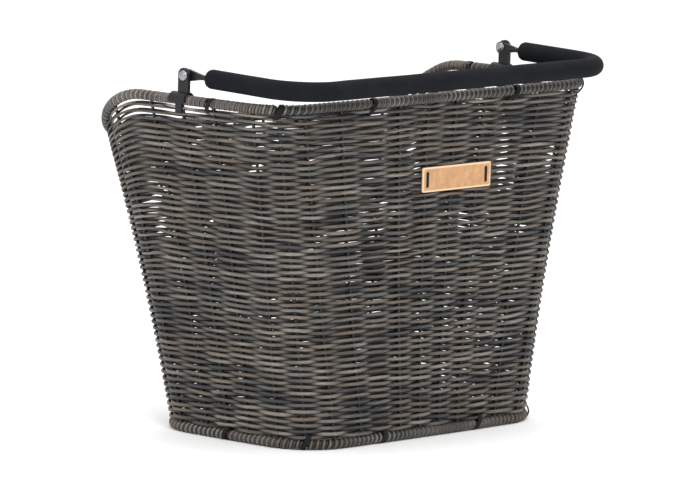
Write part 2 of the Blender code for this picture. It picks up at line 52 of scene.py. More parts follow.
# ------------------------------------------------------- the basket's outline
TOP_HALF = (0.1975, 0.109)      # rim centre lines: half width (X) and half depth (Y)
BASE_HALF = (0.147, 0.088)
TOP_CORNER = 0.037
BASE_CORNER = 0.041
BASE_SHIFT = -0.015
FACE_BOW = 0.003
END_BOW = 0.0018
WALL_FLARE = 0.003
BASE_LINE = 0.0046              # height of the base rim's centre line
RIM_HEIGHT = 0.288
REAR_DROP = 0.038
DROP_START = 0.045
DROP_POWER = 2.25
WRAP_OUTER = 0.0046
ARC_SHARE = 0.4                 # of each quarter of the outline that is its corner

# ---------------------------------------------------------------- the weave
ROW_PITCH = 0.0027
STRAND_DEEP = 0.00125           # half thickness of a strand through the wall
STRAND_TALL = 0.00156           # half height of a strand
WAVE = 0.00200                  # how far a strand swings to each side of a stake
WAVE_SHARPNESS = 1.05           # how long it lies flat before it crosses over
PRESSED = 0.84                  # share of that swing left between the two rear plates
PRESSED_HALF = (0.052, 0.060)   # half width and height of that place
PRESSED_LEVEL = 0.150
STAKE_RADIUS = 0.0014
STAKE_INSET = 0.003             # between a stake's ends and the rims' centre lines
STAKE_SAMPLES = 14
FACE_STAKES = 8
END_STAKES = 3
CORNER_STAKES = (0.12, 0.5, 0.88)   # shares of a corner's arc
STAKE_GAP_SAMPLES = 8           # points of a strand between two stakes
STRAND_SIDES = 8
FAN_POWER = 2.6                 # how the rows close up, upwards, where the rim falls
PAIRED_ROWS = 7                 # top rows that run in pairs with slots between, at the ends
PAIR_SHIFT = 0.00055
PAIR_THINNING = 0.28
TOP_ROW_TONE = 1.9              # the strand right under the rim is paler
LOOSE_STAKES = 0.5              # size of a loose place: stake gaps across, metres up
LOOSE_HEIGHT = 0.026
LOOSE_LEVEL = 0.18              # a higher level leaves fewer loose places
LOOSE_GAIN = 2.8
LOOSE_ROWS = 23                 # of the field that says how loose the weave is
LOOSE_FROM = 0.07               # the weave is tight below this height
BANDS = 6                       # pieces that the wall's weave is divided into

# ---------------------------------------------- the rims' windings and ties
WINDING_PITCH = {"top": 0.0056, "base": 0.0052}
WINDING_TONE = {"top": 1.0, "base": 0.72}
WINDING_ROW = {"top": 170, "base": 190}     # of the colour noise, past the wall's rows
WINDING_DEEP = 0.00100          # half thickness and half width of a wound strand
WINDING_WIDE = 0.00134
WINDING_SAMPLES = 14            # points in one turn
BRACKET_CLEARANCE = 0.14        # outline parameter from a bracket to the tie beside it
TIE_RADII = (0.0006, 0.0009)    # half thickness and half width of a tie's cord
TIE_REACH = 0.0052              # half width of its loop around the rim
TIE_NARROWING = 0.22            # share that the loop loses beside the thinner wall
TIE_SLANT = 0.0034              # how far it leans along the rim
TIE_TURNS = (-0.0013, 0.0, 0.0013)      # places of its loops along the rim
TIE_SHIFT = {"top": -0.0026, "base": 0.0022}    # towards the wall
TIE_SUNK = 0.0005               # depth of its cord's middle below the winding's face
TIE_BARE = 0.0019               # the winding stops this far from a tie's middle

# ----------------------------------------------------------------- the floor
FLOOR_LEVEL = 0.0046
FLOOR_WAVE = 0.0019
FLOOR_PITCH = 0.0032
FLOOR_STAKES = 9
FLOOR_REACH = 0.12              # from the middle to the outermost stake
FLOOR_WIRES = (-0.075, 0.0, 0.075)
FLOOR_RADII = (0.0014, 0.0011)  # half width and half thickness of a strand
FLOOR_STAKE_RADIUS = 0.0013
FLOOR_ROW = 130                 # first row of the colour noise
FLOOR_DRIFT_ROW = 120           # first row of the noise that bends the strands

# ---------------------------------------------------------------- the handle
PIVOT = Vector((0.0, -0.003, 0.3083))
EYELET_X = 0.1951
BOW_REACH = 0.128
BOW_CORNER = 0.038
BOW_ARM_X = 0.194
BOW_SLOPE = math.radians(1.8)
ROD_RADIUS = 0.0023
FOAM_RADIUS = 0.0082
FOAM_START = 0.024
FOAM_ROUND = 0.0042

# ---------------------------------------------------- colours of the strands, and their painted shade
PAINTED_WEAVE_SHADE = 0.03             # painted shade: how dark a strand's tint is made where it lies deepest in the weave
PAINTED_WEAVE_SHADE_POWER = 1.3
BROWN = np.array([0.122, 0.095, 0.074])
GREY = np.array([0.098, 0.092, 0.083])
LIGHT = np.array([0.215, 0.190, 0.166])
DARK = np.array([0.020, 0.022, 0.027])

# ---------------------------------------------------------------- the camera
CAMERA_AZIMUTH = math.radians(-47.33)
CAMERA_ELEVATION = math.radians(7.55)
CAMERA_DISTANCE = 5.987
CAMERA_AIM = Vector((0.0, 0.0, 0.15))
CAMERA_LEAN = math.radians(1.5)
CAMERA_LENS = 372.0

# --------------------------------------------------------------- other values
EDGE_ANGLE = math.radians(40)   # a CAD piece's edges that turn by more are bevelled
LABEL_HALF = (("X", 0.0425), ("Z", 0.0104))     # that its rubbed border is measured from
SEED = 7


# ------------------------------------------------------------------ outline
def plan(u, half, corner, shift):
    """Points of a rim's plan at parameters u in 0..4: a corner, then a side, four times."""
    half_x, half_y = half
    quarter = np.floor(u).astype(int) % 4
    part = u - np.floor(u)
    sx = np.array([1.0, -1.0, -1.0, 1.0])[quarter]
    sy = np.array([1.0, 1.0, -1.0, -1.0])[quarter]
    turn = np.radians(90.0) * (quarter + np.minimum(part / ARC_SHARE, 1.0))
    x = sx * (half_x - corner) + corner * np.cos(turn)
    y = sy * (half_y - corner) + corner * np.sin(turn)
    along = np.clip((part - ARC_SHARE) / (1.0 - ARC_SHARE), 0.0, 1.0)
    step_x = np.array([-1.0, 0.0, 1.0, 0.0])[quarter] * 2 * (half_x - corner)
    step_y = np.array([0.0, -1.0, 0.0, 1.0])[quarter] * 2 * (half_y - corner)
    x = x + step_x * along
    y = y + step_y * along
    y_bow = np.copysign(FACE_BOW * (1 - (x / half_x) ** 2), y)
    x_bow = np.copysign(END_BOW * (1 - (y / half_y) ** 2), x)
    return x + x_bow, y + y_bow + shift


def top_plan(u):
    return plan(u, TOP_HALF, TOP_CORNER, 0.0)


def base_plan(u):
    return plan(u, BASE_HALF, BASE_CORNER, BASE_SHIFT)


def rim_height(y):
    fraction = (y - DROP_START) / (TOP_HALF[1] - DROP_START)
    return RIM_HEIGHT - REAR_DROP * np.clip(fraction, 0.0, 1.0) ** DROP_POWER


def outward(u):
    """Horizontal unit normals of the top rim's plan."""
    step = 0.002
    x0, y0 = top_plan(u - step)
    x1, y1 = top_plan(u + step)
    nx, ny = y1 - y0, x0 - x1
    length = np.hypot(nx, ny)
    return nx / length, ny / length


def wall(u, height, out=0.0):
    """Points of the wall's middle surface at given heights, moved outwards by out."""
    xt, yt = top_plan(u)
    xb, yb = base_plan(u)
    t = (height - BASE_LINE) / (rim_height(yt) - BASE_LINE)
    nx, ny = outward(u)
    bend = out - WALL_FLARE * 4 * t * (1 - t)
    x = xb + (xt - xb) * t + nx * bend
    y = yb + (yt - yb) * t + ny * bend
    return np.stack([x, y, height + 0.0 * x], axis=1)


def stake_parameters():
    """Where the stakes stand: three in each corner, then eight on a face or three in an end.

    The frame's own upright wires are among them.
    """
    places = []
    for quarter in range(4):
        number = FACE_STAKES if quarter % 2 == 0 else END_STAKES
        places += [quarter + ARC_SHARE * share for share in CORNER_STAKES]
        places += [quarter + along_side(step / (number + 1)) for step in range(1, number + 1)]
    return np.array(places)


def along_side(share):
    """Part of a quarter at a share of the way along its side, past the corner."""
    return ARC_SHARE + (1 - ARC_SHARE) * share


STAKES = stake_parameters()
END_MIDDLES = [quarter + along_side(0.5) for quarter in (1, 3)]
FRAME_STAKES = [along_side(share) for share in (1 / 3, 2 / 3)]
FRAME_STAKES += [2 + along_side(share) for share in (2 / 9, 7 / 9)]
FRAME_STAKES += END_MIDDLES
FRAME_STAKES += [quarter + ARC_SHARE / 2 for quarter in (2, 3)]
# A tie binds each rim where an upright wire of the frame meets it. The brackets stand there
# at the ends of the top rim, so its ties are moved aside.
BASE_TIES = list(FRAME_STAKES)
TOP_TIES = [u + BRACKET_CLEARANCE if u in END_MIDDLES else u for u in FRAME_STAKES]


# -------------------------------------------------------------- smooth noise
def smooth_noise(rng, rows, columns):
    """A random grid, to be read between its points with read_noise()."""
    return rng.uniform(-1.0, 1.0, (rows, columns))


def read_noise(grid, row, column):
    """Cosine interpolation of a grid that repeats both ways."""
    rows, columns = grid.shape
    r0 = np.floor(row).astype(int)
    c0 = np.floor(column).astype(int)
    fr = 0.5 - 0.5 * np.cos(np.pi * (row - r0))
    fc = 0.5 - 0.5 * np.cos(np.pi * (column - c0))
    r0, r1 = r0 % rows, (r0 + 1) % rows
    c0, c1 = c0 % columns, (c0 + 1) % columns
    low = grid[r0, c0] * (1 - fc) + grid[r0, c1] * fc
    high = grid[r1, c0] * (1 - fc) + grid[r1, c1] * fc
    return low * (1 - fr) + high * fr


# ------------------------------------------------------------- strand meshes
class Strands:
    """Collects tubes with elliptical sections and a tint at each point, with painted shade where
    asked.
    """

    def __init__(self):
        self.verts = []
        self.faces = []
        self.tints = []
        self.count = 0

    def add(self, points, side, up, deep, tall, tints, closed=False, sides=STRAND_SIDES,
            facing=None, painted_edge_shade=0.0):
        """One tube: side and up are the section's axes at each point.

        facing runs from 1 where the side axis points into the open to -1 where it
        points into the weave; what lies hidden gets painted shade, darkened in its tint.
        """
        angles = 2 * np.pi * (np.arange(sides) + 0.5) / sides
        number = len(points)
        deep = np.broadcast_to(deep, number)[:, None, None]
        tall = np.broadcast_to(tall, number)[:, None, None]
        ring = (side[:, None, :] * np.cos(angles)[None, :, None] * deep
                + up[:, None, :] * np.sin(angles)[None, :, None] * tall)
        verts = points[:, None, :] + ring
        first = np.arange(number if closed else number - 1)
        second = (first + 1) % number
        j = np.arange(sides)
        k = (j + 1) % sides
        quads = np.stack([
            first[:, None] * sides + j, first[:, None] * sides + k,
            second[:, None] * sides + k, second[:, None] * sides + j], axis=2)
        self.verts.append(verts.reshape(-1, 3))
        self.faces.append(quads.reshape(-1, 4) + self.count)
        shade = np.ones((number, sides))
        if facing is not None:
            # painted shade: the faces of a strand that lie hidden in the weave are darkened in its
            # tint
            hidden = 0.5 - 0.5 * np.tanh(1.8 * facing[:, None] * np.cos(angles)[None, :])
            shade = 1.0 - (1.0 - PAINTED_WEAVE_SHADE) * hidden ** PAINTED_WEAVE_SHADE_POWER
        # painted shade along the top and bottom edges of the section, where neighbouring strands
        # meet
        shade = shade * (1.0 - painted_edge_shade * np.sin(angles)[None, :] ** 4)
        self.tints.append((tints[:, None, :] * shade[:, :, None]).reshape(-1, 3))
        self.count += number * sides

    def build(self, name):
        verts = np.concatenate(self.verts)
        faces = np.concatenate(self.faces)
        tints = np.concatenate(self.tints)
        mesh = bpy.data.meshes.new(name)
        mesh.vertices.add(len(verts))
        mesh.vertices.foreach_set("co", verts.astype(np.float32).ravel())
        mesh.loops.add(faces.size)
        mesh.loops.foreach_set("vertex_index", faces.astype(np.int32).ravel())
        mesh.polygons.add(len(faces))
        mesh.polygons.foreach_set("loop_start", np.arange(0, faces.size, 4, dtype=np.int32))
        mesh.update(calc_edges=True)
        mesh.shade_smooth()
        # the tint of each point, with its painted shade
        layer = mesh.color_attributes.new("strand_tint_and_shade", "FLOAT_COLOR", "POINT")
        colours = np.concatenate([tints, np.ones((len(tints), 1))], axis=1)
        layer.data.foreach_set("color", colours.astype(np.float32).ravel())
        obj = bpy.data.objects.new(name, mesh)
        bpy.context.scene.collection.objects.link(obj)
        return obj


def frames(points, closed):
    """Tangent, level side and upright axes along a path."""
    if closed:
        run = np.roll(points, -1, axis=0) - np.roll(points, 1, axis=0)
    else:
        run = np.gradient(points, axis=0)
    run = run / np.linalg.norm(run, axis=1)[:, None]
    side = np.cross(run, [0.0, 0.0, 1.0])
    side = side / np.linalg.norm(side, axis=1)[:, None]
    up = np.cross(side, run)
    return run, side, up


def arc_length(points):
    steps = np.linalg.norm(np.diff(points, axis=0), axis=1)
    return np.concatenate([[0.0], np.cumsum(steps)])


# -------------------------------------------------------------------- colour
RNG = np.random.RandomState(SEED)
TINT_SHARED = [smooth_noise(RNG, 61, 97) for _ in range(3)]
TINT_OWN = [smooth_noise(RNG, 251, 127) for _ in range(3)]


def strand_tints(along, row):
    """Colour of a strand by distance along it: brown, grey, pale and near-black stretches."""
    row = np.broadcast_to(float(row), along.shape)
    warm = (read_noise(TINT_SHARED[0], row / 3.1, along / 0.075)
            + read_noise(TINT_OWN[0], row * 1.0, along / 0.050 + row * 0.37))
    dark = (read_noise(TINT_SHARED[1], row / 2.4, along / 0.060)
            + 0.9 * read_noise(TINT_OWN[1], row * 1.0, along / 0.042 + row * 0.71))
    pale = (0.6 * read_noise(TINT_SHARED[2], row / 2.0, along / 0.050)
            + read_noise(TINT_OWN[2], row * 1.0, along / 0.030 + row * 0.53))
    warm = np.clip(0.5 + 0.55 * warm, 0.0, 1.0)[:, None]
    dark = np.clip((dark - 0.02) * 0.85, 0.0, 0.90)[:, None]
    pale = np.clip((pale - 0.12) * 0.95, 0.0, 0.85)[:, None]
    tint = GREY * (1 - warm) + BROWN * warm
    tint = tint * (1 - pale) + LIGHT * pale
    return tint * (1 - dark) + DARK * dark


# ------------------------------------------------------------------ the wall
WANDER = [smooth_noise(RNG, 41, 71), smooth_noise(RNG, 211, 89)]


def wander(grid, row, place):
    return read_noise(WANDER[grid], np.full(place.shape, float(row)), place)


def ring_samples():
    """Parameters round the outline, evenly between neighbouring stakes, and stake counts."""
    ends = np.append(STAKES, STAKES[0] + 4.0)
    u = []
    phase = []
    for number, (low, high) in enumerate(zip(ends, ends[1:])):
        steps = np.arange(STAKE_GAP_SAMPLES) / STAKE_GAP_SAMPLES
        u.append(low + (high - low) * steps)
        phase.append(number + steps)
    return np.concatenate(u) % 4.0, np.concatenate(phase)


def side_of_wall(phase, row):
    """1 where a row passes in front of a stake, -1 where it passes behind."""
    return np.tanh(WAVE_SHARPNESS * np.cos(np.pi * (phase + row))) / math.tanh(WAVE_SHARPNESS)


def row_path(u, phase, height, row):
    """A strand's centre line: in front of every second stake, wandering a little."""
    swing = WAVE * side_of_wall(phase, row)
    drift = 0.00070 * wander(0, row / 3.0, phase * 0.9) + 0.00036 * wander(1, row, phase * 1.3)
    drift += 0.00016 * wander(1, row + 0.5, phase * 2.9)
    flat = wall(u, height + drift)
    inside = np.maximum(np.abs(flat[:, 0]) / PRESSED_HALF[0],
                        np.abs(flat[:, 2] - PRESSED_LEVEL) / PRESSED_HALF[1])
    near = np.clip((1.12 - inside) / 0.12, 0.0, 1.0) * (flat[:, 1] > 0.05)
    swing = swing * (1.0 - (1.0 - PRESSED) * near)
    return wall(u, height + drift, swing)


def add_row(strands, row, u, phase, heights, share, tone):
    points = row_path(u, phase, heights, row)
    _, side, up = frames(points, True)
    along = arc_length(points)
    along = along * (round(along[-1] / 0.01) * 0.01 / along[-1])
    thick = share * (1.0 + 0.07 * wander(1, row + 0.5, phase * 0.7))
    thick = thick * (1.0 - 0.25 * np.clip(wander(0, row / 6.0 + 20.0, phase * 0.8) - 0.45, 0.0, 1.0))
    # facing paints shade onto the parts of each row that lie hidden behind stakes and neighbouring
    # strands
    strands.add(points, side, up, STRAND_DEEP * thick, STRAND_TALL * thick,
                strand_tints(along, row) * tone, True, facing=side_of_wall(phase, row))


LOOSE_FIELD = smooth_noise(np.random.RandomState(SEED + 1), LOOSE_ROWS,
                           round(len(STAKES) / LOOSE_STAKES))


def looseness(phase, heights):
    """How open the weave is at places along a row, 0..1, from a field of its own."""
    field = read_noise(LOOSE_FIELD, heights / LOOSE_HEIGHT, phase / LOOSE_STAKES)
    above = np.clip((heights - LOOSE_FROM) / LOOSE_FROM, 0.0, 1.0)
    return above * np.clip(LOOSE_GAIN * (field - LOOSE_LEVEL), 0.0, 1.0)


def wall_rows():
    """Each row as (number, parameters, stake counts, heights, thickness shares, tone)."""
    u, phase = ring_samples()
    x, y = top_plan(u)
    rim = rim_height(y)
    run = np.gradient(arc_of(u))
    slope = np.hypot(np.gradient(rim), run) / run
    at_end = np.clip((np.abs(x) - 0.145) / 0.04, 0.0, 1.0)
    first = BASE_LINE + WRAP_OUTER + 0.9 * STRAND_TALL
    last = rim - (WRAP_OUTER + 0.9 * STRAND_TALL) * slope
    tallest = last.max() - first
    drop = last.max() - last
    count = round(tallest / ROW_PITCH) + 1
    rows = []
    for number in range(count):
        share = number / (count - 1)
        heights = first + tallest * share - drop * share ** FAN_POWER
        squeeze = 1.0 - drop * FAN_POWER * share ** (FAN_POWER - 1) / tallest
        paired = at_end * min(max((number - count + PAIRED_ROWS) / 2.0, 0.0), 1.0)
        paired = np.maximum(paired, looseness(phase, heights))
        heights += paired * PAIR_SHIFT * (1 if (count - number) % 2 == 0 else -1)
        rows.append((number, u, phase, heights, squeeze ** 0.7 * (1.0 - PAIR_THINNING * paired),
                     TOP_ROW_TONE if number == count - 1 else 1.0))
    return rows


def arc_of(u):
    """Distance along the top rim at each sample."""
    x, y = top_plan(u)
    return np.concatenate([[0.0], np.cumsum(np.hypot(np.diff(x), np.diff(y)))])


def make_wall_weave(material):
    rows = wall_rows()
    size = math.ceil(len(rows) / BANDS)
    pieces = []
    for band in range(BANDS):
        strands = Strands()
        for row in rows[band * size:(band + 1) * size]:
            add_row(strands, *row)
        piece = strands.build(f"wall_weave_{band + 1}")
        piece.data.materials.append(material)
        pieces.append(piece)
    return pieces


def make_stakes(material):
    """The stakes between the frame's own upright wires."""
    strands = Strands()
    for u in STAKES:
        if min(abs(u - place) for place in FRAME_STAKES) < 0.001:
            continue
        _, y = top_plan(np.array([u]))
        low = BASE_LINE + STAKE_INSET
        high = rim_height(y[0]) - STAKE_INSET
        points = wall(np.full(STAKE_SAMPLES, u), np.linspace(low, high, STAKE_SAMPLES))
        nx, ny = outward(np.array([u]))
        side = np.tile([nx[0], ny[0], 0.0], (STAKE_SAMPLES, 1))
        around = np.tile([-ny[0], nx[0], 0.0], (STAKE_SAMPLES, 1))
        tint = np.tile(DARK * 0.5, (STAKE_SAMPLES, 1))
        strands.add(points, side, -around, STAKE_RADIUS, STAKE_RADIUS, tint)
    stakes = strands.build("wall_stakes")
    stakes.data.materials.append(material)
    return stakes


# ------------------------------------------------------------------ the rims
def rim_line(kind, count):
    """Evenly spaced points of a rim's centre line, with its side and up axes."""
    u = np.linspace(0.0, 4.0, 6001)
    if kind == "top":
        x, y = top_plan(u)
        z = rim_height(y)
    else:
        x, y = base_plan(u)
        z = np.full(u.shape, BASE_LINE)
    points = np.stack([x, y, z], axis=1)
    along = arc_length(points)
    even = np.arange(count) * along[-1] / count
    spaced = np.stack([np.interp(even, along, points[:, i]) for i in range(3)], axis=1)
    run, side, up = frames(spaced, True)
    return spaced, run, side, up, even, along[-1]


def make_rim_winding(name, kind, ties, material):
    """Two strands wound side by side round a rim wire, with short bare places.

    The second strand lies deeper over most of the rim, where painted shade darkens it so
    that it reads as the groove between turns, and level with the first along the rest,
    where the winding looks finer.
    """
    length = rim_line(kind, 8)[-1]
    turns = round(length / WINDING_PITCH[kind])
    count = turns * WINDING_SAMPLES
    centre, _, side, up, along, length = rim_line(kind, count)
    strands = Strands()
    fine = 0.5 + 1.1 * read_noise(smooth_noise(RNG, 2, 12), np.zeros(count), along / length * 12)
    fine = np.clip(fine + np.clip((np.abs(centre[:, 0]) - 0.185) / 0.01, 0.0, 1.0), 0.0, 1.0)
    for strand in range(2):
        own = smooth_noise(RNG, 2, 401)
        lag = 0.35 * read_noise(own, np.zeros(count), along / 0.009)
        turn = 2 * np.pi * np.arange(count) / WINDING_SAMPLES + np.pi * strand + lag
        ray = side * np.cos(turn)[:, None] + up * np.sin(turn)[:, None]
        sink = (0.0004 * (1 - fine) if strand else 0.0) + 0.00008
        sink = sink + 0.00006 * (1 + read_noise(own, np.ones(count), along / 0.004))
        points = centre + ray * (WRAP_OUTER - WINDING_DEEP - sink)[:, None]
        heading = np.roll(points, -1, axis=0) - np.roll(points, 1, axis=0)
        heading = heading / np.linalg.norm(heading, axis=1)[:, None]
        across = np.cross(heading, ray)
        across = across / np.linalg.norm(across, axis=1)[:, None]
        tints = strand_tints(along * (1.0 + 0.11 * strand), WINDING_ROW[kind] + 3 * strand)
        # painted shade: the deeper second strand is darkened where the winding is coarse; the first
        # is made a little paler
        shade = 0.30 + 0.85 * fine if strand else 1.25 - 0.1 * fine
        tints = tints * (shade * WINDING_TONE[kind])[:, None]
        covered = np.ones(count, bool)
        for tie in ties:
            away = np.abs((along / length - tie_place(kind, tie) + 0.5) % 1.0 - 0.5) * length
            covered &= away > TIE_BARE
        starts = np.flatnonzero(covered & ~np.roll(covered, 1))
        for start in starts:
            order = (np.arange(count) + start) % count
            order = order[:np.flatnonzero(~covered[order])[0]]
            if len(order) > 6:
                # painted shade along each wound strand's edges, where neighbouring turns meet
                strands.add(points[order], ray[order], across[order], WINDING_DEEP,
                            WINDING_WIDE, tints[order], painted_edge_shade=0.75)
    winding = strands.build(name)
    winding.data.materials.append(material)
    return winding


def tie_place(kind, u):
    """Share of a rim's length at an outline parameter."""
    samples = np.linspace(0.0, 4.0, 4001)
    plan_of = top_plan if kind == "top" else base_plan
    x, y = plan_of(samples)
    z = rim_height(y) if kind == "top" else 0.0 * x
    along = arc_length(np.stack([x, y, z], axis=1))
    return float(np.interp(u, samples, along) / along[-1])


def wall_lean(u, kind):
    """How far the wall moves sideways for each metre up, beside a rim."""
    place = np.array([u, u])
    near = 0.006
    if kind == "top":
        height = rim_height(top_plan(place)[1]) - [near, 0.0]
    else:
        height = BASE_LINE + np.array([0.0, near])
    low, high = wall(place, height)
    return (high - low) * [1.0, 1.0, 0.0] / near


def make_rim_ties(name, kind, ties, material):
    """Dark slanted bindings that also take in the nearest rows of the leaning wall."""
    count = 1200
    centre, _, side, up, _, length = rim_line(kind, count)
    shift = TIE_SHIFT[kind]
    strands = Strands()
    for tie in ties:
        lean_of_wall = wall_lean(tie, kind)
        for offset in TIE_TURNS:
            turn = np.linspace(0.0, 2 * np.pi, 37)[:-1]
            lean = TIE_SLANT * np.sin(turn)
            spot = (tie_place(kind, tie) + (offset + lean) / length) % 1.0 * count
            low = np.floor(spot).astype(int) % count
            part = (spot - np.floor(spot))[:, None]
            middle = centre[low] * (1 - part) + centre[(low + 1) % count] * part
            beside_wall = np.clip(math.copysign(1.0, shift) * np.sin(turn), 0.0, 1.0)
            reach = TIE_REACH * (1 - TIE_NARROWING * beside_wall)
            ray = side[low] * (reach * np.cos(turn))[:, None]
            rise = (WRAP_OUTER + abs(shift) - TIE_SUNK) * np.sin(turn) + shift
            ray += up[low] * rise[:, None]
            points = middle + ray + lean_of_wall * rise[:, None]
            heading = np.roll(points, -1, axis=0) - np.roll(points, 1, axis=0)
            heading = heading / np.linalg.norm(heading, axis=1)[:, None]
            outside = ray - up[low] * shift
            outside = outside / np.linalg.norm(outside, axis=1)[:, None]
            across = np.cross(heading, outside)
            across = across / np.linalg.norm(across, axis=1)[:, None]
            strands.add(points, outside, across, *TIE_RADII, 0 * points, closed=True)
    bindings = strands.build(name)
    bindings.data.materials.append(material)
    return bindings


# ----------------------------------------------------------------- the floor
def make_floor_weave(material):
    """Strands along X over and under stakes along Y, inside the base rim."""
    inset = WRAP_OUTER - 0.0008
    half_x = BASE_HALF[0] - inset
    half_y = BASE_HALF[1] - inset
    corner = BASE_CORNER - inset
    strands = Strands()
    stakes = np.linspace(-FLOOR_REACH, FLOOR_REACH, FLOOR_STAKES)

    def half_width(y):
        """Half length of a strand at a distance from the floor's middle line."""
        over = max(abs(y) - (half_y - corner), 0.0)
        return half_x - corner + math.sqrt(max(corner ** 2 - over ** 2, 0.0))

    rows = int(2 * half_y / FLOOR_PITCH)
    for row in range(rows):
        y = -half_y + FLOOR_PITCH / 2 + row * (2 * half_y - FLOOR_PITCH) / (rows - 1)
        reach = half_width(y)
        x = np.linspace(-reach, reach, 76)
        drift = 0.0004 * wander(1, row + FLOOR_DRIFT_ROW, x / 0.03)
        swing = FLOOR_WAVE * np.cos(np.pi * ((x - stakes[0]) / (stakes[1] - stakes[0]) + row))
        swing *= np.clip((reach - np.abs(x)) / 0.01, 0.0, 1.0)
        points = np.stack([x, y + BASE_SHIFT + drift, FLOOR_LEVEL + swing], axis=1)
        run = np.gradient(points, axis=0)
        run = run / np.linalg.norm(run, axis=1)[:, None]
        side = np.tile([0.0, 1.0, 0.0], (len(x), 1))
        up = np.cross(run, side)
        strands.add(points, side, -up, *FLOOR_RADII, strand_tints(x + 0.3, row + FLOOR_ROW))
    for x in stakes:
        if min(abs(x - wire) for wire in FLOOR_WIRES) < 0.008:
            continue
        reach = half_y - 0.001
        points = np.stack([np.full(12, x), np.linspace(-reach, reach, 12) + BASE_SHIFT,
                           np.full(12, FLOOR_LEVEL)], axis=1)
        side = np.tile([1.0, 0.0, 0.0], (12, 1))
        up = np.tile([0.0, 0.0, 1.0], (12, 1))
        strands.add(points, side, up, FLOOR_STAKE_RADIUS, FLOOR_STAKE_RADIUS,
                    np.tile(DARK * 1.3, (12, 1)))
    floor = strands.build("floor_weave")
    floor.data.materials.append(material)
    return floor


# ----------------------------------------------------------------- materials
def new_material(name, colour, roughness, metallic=0.0):
    material = bpy.data.materials.new(name)
    material.use_nodes = True
    shader = material.node_tree.nodes["Principled BSDF"]
    shader.inputs["Base Color"].default_value = (*colour, 1.0)
    shader.inputs["Roughness"].default_value = roughness
    shader.inputs["Metallic"].default_value = metallic
    return material, material.node_tree.nodes, material.node_tree.links, shader


def coordinates(nodes, links, scale):
    """Object coordinates, stretched."""
    place = nodes.new("ShaderNodeTexCoord")
    mapping = nodes.new("ShaderNodeMapping")
    mapping.inputs["Scale"].default_value = scale
    links.new(place.outputs["Object"], mapping.inputs["Vector"])
    return mapping.outputs["Vector"]


def noise(nodes, links, vector, scale, detail):
    texture = nodes.new("ShaderNodeTexNoise")
    texture.inputs["Scale"].default_value = scale
    texture.inputs["Detail"].default_value = detail
    texture.inputs["Roughness"].default_value = 0.55
    links.new(vector, texture.inputs["Vector"])
    return texture.outputs["Fac"]


def spread(nodes, links, value, low, high, to_low, to_high):
    node = nodes.new("ShaderNodeMapRange")
    node.inputs["From Min"].default_value = low
    node.inputs["From Max"].default_value = high
    node.inputs["To Min"].default_value = to_low
    node.inputs["To Max"].default_value = to_high
    links.new(value, node.inputs["Value"])
    return node.outputs["Result"]


def multiply_colour(nodes, links, colour, factor):
    mix = nodes.new("ShaderNodeMix")
    mix.data_type = "RGBA"
    mix.blend_type = "MULTIPLY"
    mix.inputs["Factor"].default_value = 1.0
    links.new(colour, mix.inputs["A"])
    links.new(factor, mix.inputs["B"])
    return mix.outputs["Result"]


def add_bump(nodes, links, shader, height, strength, distance):
    bump = nodes.new("ShaderNodeBump")
    bump.inputs["Strength"].default_value = strength
    bump.inputs["Distance"].default_value = distance
    links.new(height, bump.inputs["Height"])
    links.new(bump.outputs["Normal"], shader.inputs["Normal"])


def cane_material():
    """Synthetic rattan: the strand's tint, with its painted shade, fine streaks and a dull sheen."""
    material, nodes, links, shader = new_material("cane_look", (0.15, 0.12, 0.1), 0.5)
    shader.inputs["Specular IOR Level"].default_value = 0.38
    tint = nodes.new("ShaderNodeAttribute")
    # this attribute carries painted shade as well as the strand's own colour
    tint.attribute_name = "strand_tint_and_shade"
    streaks = noise(nodes, links, coordinates(nodes, links, (60.0, 60.0, 1500.0)), 1.0, 2.0)
    flecks = noise(nodes, links, coordinates(nodes, links, (260.0, 260.0, 420.0)), 1.0, 3.0)
    shade = spread(nodes, links, streaks, 0.3, 0.7, 0.72, 1.28)
    colour = multiply_colour(nodes, links, tint.outputs["Color"], shade)
    blotch = spread(nodes, links, flecks, 0.25, 0.75, 0.75, 1.2)
    colour = multiply_colour(nodes, links, colour, blotch)
    links.new(colour, shader.inputs["Base Color"])
    rough = spread(nodes, links, flecks, 0.2, 0.8, 0.38, 0.62)
    links.new(rough, shader.inputs["Roughness"])
    add_bump(nodes, links, shader, streaks, 0.35, 0.0002)
    return material


def foam_material():
    """Closed-cell foam: charcoal, matt, finely pitted."""
    material, nodes, links, shader = new_material("foam_look", (0.020, 0.022, 0.028), 0.9)
    vector = coordinates(nodes, links, (1.0, 1.0, 1.0))
    cells = noise(nodes, links, vector, 2600.0, 2.0)
    broad = noise(nodes, links, vector, 60.0, 2.0)
    base = nodes.new("ShaderNodeMix")
    base.data_type = "RGBA"
    base.inputs["A"].default_value = (0.0040, 0.0047, 0.0066, 1.0)
    base.inputs["B"].default_value = (0.0080, 0.0092, 0.0125, 1.0)
    links.new(spread(nodes, links, broad, 0.3, 0.7, 0.1, 0.9), base.inputs["Factor"])
    links.new(base.outputs["Result"], shader.inputs["Base Color"])
    shader.inputs["Specular IOR Level"].default_value = 0.16
    add_bump(nodes, links, shader, cells, 0.5, 0.0004)
    return material


def black_steel_material():
    """Black powder coat: satin, with a fine orange-peel."""
    material, nodes, links, shader = new_material("black_steel_look", (0.009, 0.009, 0.011), 0.4)
    shader.inputs["Specular IOR Level"].default_value = 0.30
    vector = coordinates(nodes, links, (1.0, 1.0, 1.0))
    peel = noise(nodes, links, vector, 1400.0, 2.0)
    worn = noise(nodes, links, vector, 180.0, 3.0)
    links.new(spread(nodes, links, worn, 0.3, 0.7, 0.30, 0.48), shader.inputs["Roughness"])
    add_bump(nodes, links, shader, peel, 0.15, 0.0002)
    return material


